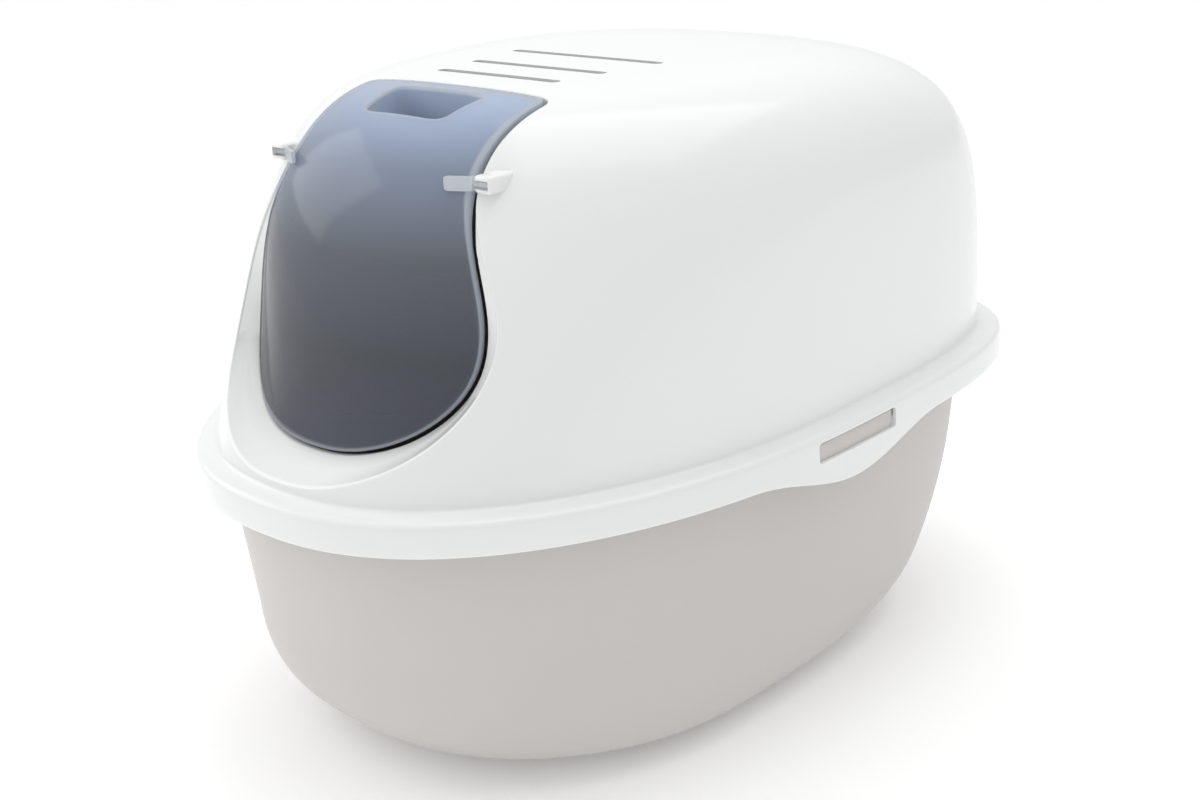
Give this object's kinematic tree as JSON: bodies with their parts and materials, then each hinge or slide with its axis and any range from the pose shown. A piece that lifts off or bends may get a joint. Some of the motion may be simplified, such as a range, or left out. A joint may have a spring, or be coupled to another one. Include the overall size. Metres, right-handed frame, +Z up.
{
  "type": "cat litter box with hood",
  "caption": "Covered litter box: deep rounded tray, lift-off hood with skirt and roof vents, and a tinted flap that swings in the front opening.",
  "frame": {"origin": "centre of the bounding box at floor level", "axes": "+Z up, +Y from the flap at the front towards the rear, +X to the right for someone who looks at the back wall from the flap"},
  "size_m": [0.4044, 0.538, 0.384],
  "materials": {
    "grey_plastic": "warm light grey satin moulded plastic",
    "white_plastic": "glossy white moulded plastic",
    "smoke_plastic": "smoky translucent moulded plastic",
    "clear_plastic": "clear moulded plastic",
    "carbon_foam": "black open-cell carbon foam"
  },
  "bodies": {
    "tray": {"tray": "grey_plastic"},
    "hood": {"hood": "white_plastic"},
    "flap": {"flap": "smoke_plastic", "flap_pin_left": "clear_plastic", "flap_pin_right": "clear_plastic"},
    "latch_left": {"latch_left": "grey_plastic"},
    "latch_right": {"latch_right": "grey_plastic"},
    "filter": {"filter_holder": "white_plastic", "filter_pad": "carbon_foam"}
  },
  "joints": [
    {"name": "hood_lift", "type": "slide", "parent": "tray", "child": "hood", "axis": [0, 0, 1], "range_m": [0, 0.25]},
    {"name": "flap_swing", "type": "hinge", "parent": "hood", "child": "flap", "pos_m": [0, -0.1625, 0.349], "axis": [1, 0, 0], "range_deg": [-25, 60]},
    {"name": "latch_left_press", "type": "hinge", "parent": "tray", "child": "latch_left", "pos_m": [-0.19, 0.012, 0.1735], "axis": [0, 1, 0], "range_deg": [0, 7], "stiffness_Nm_per_rad": 0.5},
    {"name": "latch_right_press", "type": "hinge", "parent": "tray", "child": "latch_right", "pos_m": [0.19, 0.012, 0.1735], "axis": [0, -1, 0], "range_deg": [0, 7], "stiffness_Nm_per_rad": 0.5},
    {"name": "filter_drop", "type": "slide", "parent": "hood", "child": "filter", "axis": [0, 0, -1], "range_m": [0, 0.06]}
  ]
}
